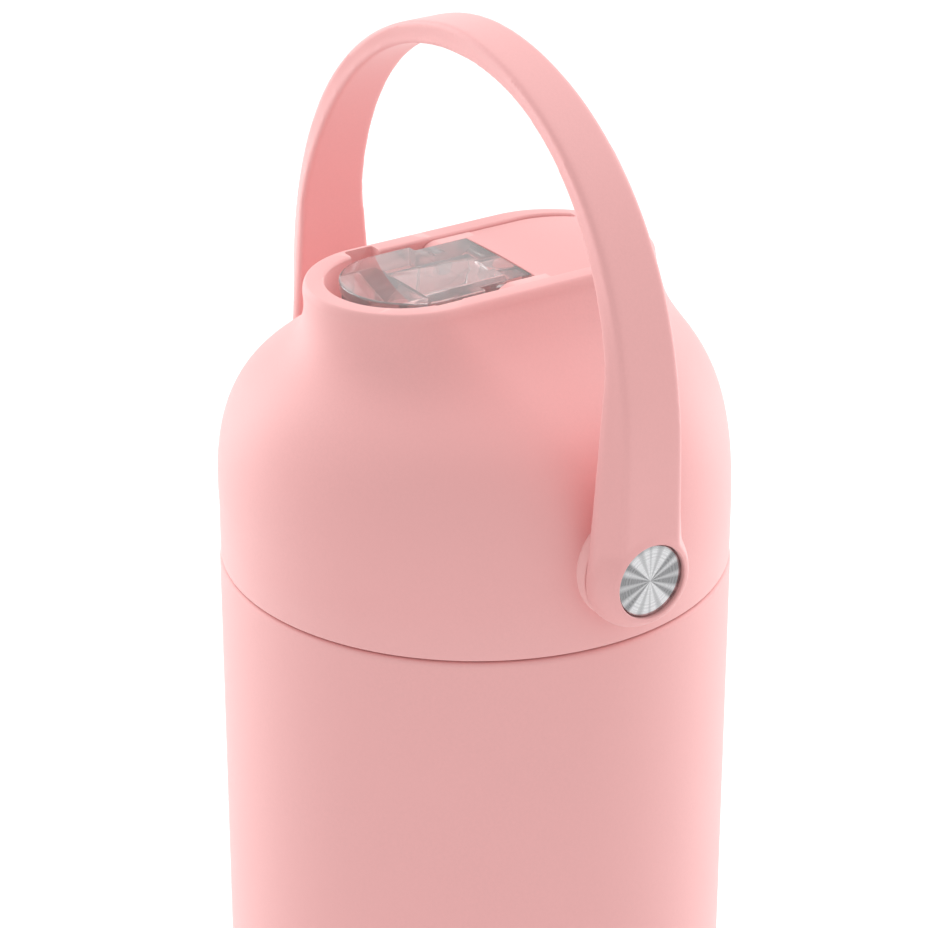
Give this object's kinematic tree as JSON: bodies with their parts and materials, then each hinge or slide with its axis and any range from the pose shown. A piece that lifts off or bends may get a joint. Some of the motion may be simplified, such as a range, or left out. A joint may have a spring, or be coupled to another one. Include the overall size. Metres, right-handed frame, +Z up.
{
  "type": "insulated drinks bottle",
  "caption": "Straight double-walled drinks bottle with a full-width screw lid, a folding clear spout with a straw, and a swinging carry handle on steel-capped pivots.",
  "frame": {"origin": "centre of the base, on the surface it stands on", "axes": "+Z up, the folded spout points to -Y, the handle turns about X"},
  "size_m": [0.1114, 0.096, 0.2773],
  "materials": {
    "body_coat": "fine matt powder coat",
    "pink_plastic": "fine matt soft-touch",
    "handle_plastic": "fine matt soft-touch",
    "clear_plastic": "clear, polished",
    "bare_steel": "fine brushed",
    "spun_steel": "spun, with rings and radial highlights",
    "brass": "turned",
    "silicone": "soft matt",
    "white_plastic": "satin",
    "foam": "closed-cell foam"
  },
  "bodies": {
    "bottle": {"outer_shell": "body_coat", "inner_liner": "bare_steel", "base_plate": "bare_steel", "vacuum_plug": "bare_steel"},
    "gasket_ring": {"neck_gasket": "silicone"},
    "lid": {"lid_shell": "pink_plastic", "lid_inner": "white_plastic", "lid_foam": "foam", "deck_cover": "pink_plastic", "spout_seal": "silicone", "vent_valve": "silicone", "straw": "clear_plastic", "straw_sleeve": "silicone", "hinge_pins": "bare_steel", "pivot_inserts": "brass", "pivot_screws": "bare_steel", "wear_washers": "white_plastic"},
    "spout": {"spout": "clear_plastic"},
    "handle": {"handle": "handle_plastic", "pivot_bushings": "white_plastic", "pivot_caps": "spun_steel"}
  },
  "joints": [
    {"name": "lid_rise", "type": "slide", "parent": "bottle", "child": "gasket_ring", "axis": [0, 0, 1], "range_m": [0, 0.0061]},
    {"name": "lid_turn", "type": "hinge", "parent": "gasket_ring", "child": "lid", "pos_m": [0, 0, 0.18], "axis": [0, 0, 1], "range_deg": [0, 540]},
    {"name": "handle_swing", "type": "hinge", "parent": "lid", "child": "handle", "pos_m": [0, 0, 0.1913], "axis": [1, 0, 0], "range_deg": [-140, 140]},
    {"name": "spout_flip", "type": "hinge", "parent": "lid", "child": "spout", "pos_m": [0, -0.0015, 0.2283], "axis": [-1, 0, 0], "range_deg": [0, 90]}
  ],
  "couplings": [
    {"joint": "lid_rise", "follows": "lid_turn", "m_per_rad": 0.00063662}
  ]
}
